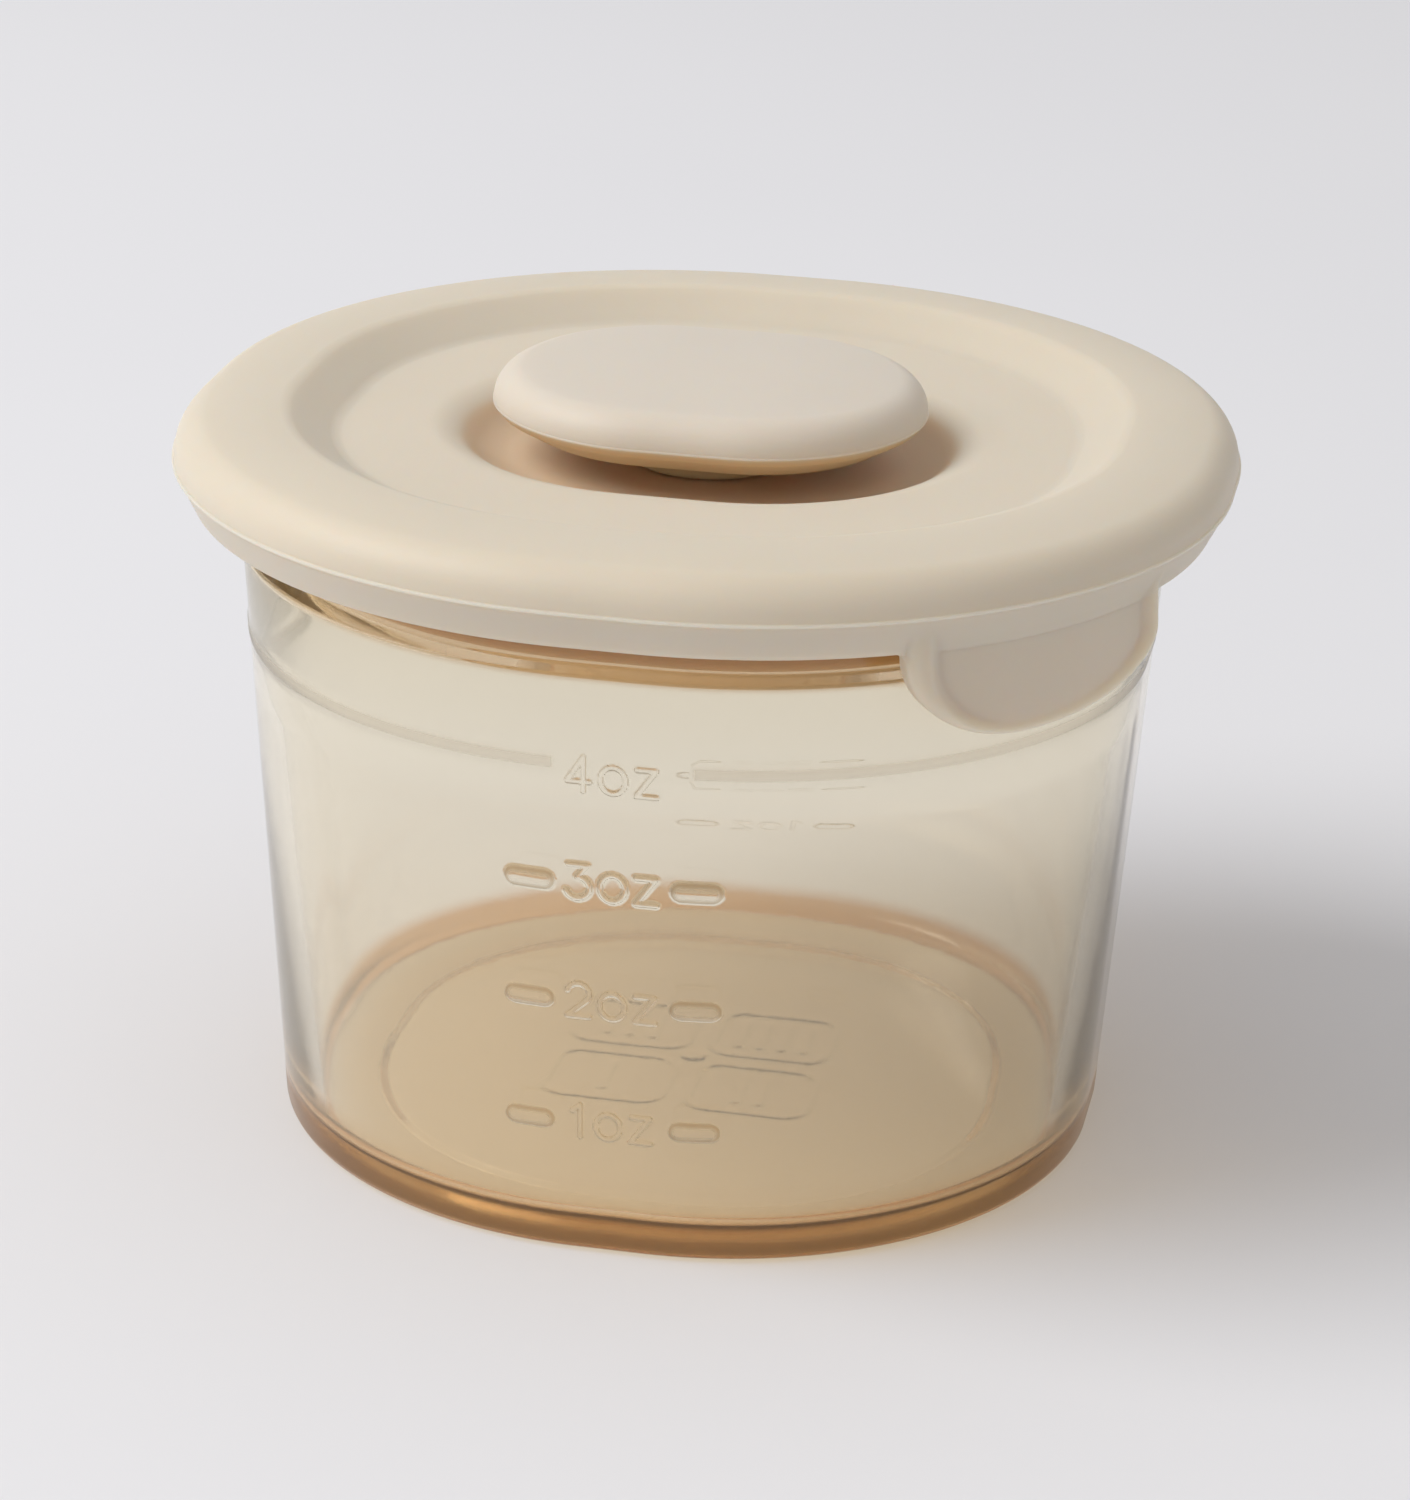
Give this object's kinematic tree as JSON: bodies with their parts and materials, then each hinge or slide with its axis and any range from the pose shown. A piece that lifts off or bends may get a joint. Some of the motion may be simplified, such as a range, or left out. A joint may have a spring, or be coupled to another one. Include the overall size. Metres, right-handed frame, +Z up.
{
  "type": "baby food container",
  "caption": "Small clear amber food cup with a foot ring and necked mouth, closed by a soft lid with a bulging rim, pull tab and push-pull vent plug",
  "frame": {"origin": "centre of the cup's foot, on the surface it stands on", "axes": "+Z up along the cup's axis, -Y out of the scale side, the vent knob's length along X, the pull tab at the +X -Y corner"},
  "size_m": [0.0804, 0.0804, 0.0603],
  "materials": {
    "clear_amber": "clear amber tinted moulded plastic, polished",
    "soft_cream": "soft matt silicone",
    "soft_cream_plug": "soft matt silicone"
  },
  "bodies": {
    "cup": {"cup": "clear_amber"},
    "lid": {"lid": "soft_cream"},
    "vent_plug": {"vent_plug": "soft_cream_plug"}
  },
  "joints": [
    {"name": "lid_lift", "type": "slide", "parent": "cup", "child": "lid", "axis": [0, 0, 1], "range_m": [0, 0.04]},
    {"name": "vent_lift", "type": "slide", "parent": "lid", "child": "vent_plug", "axis": [0, 0, 1], "range_m": [0, 0.003]}
  ]
}
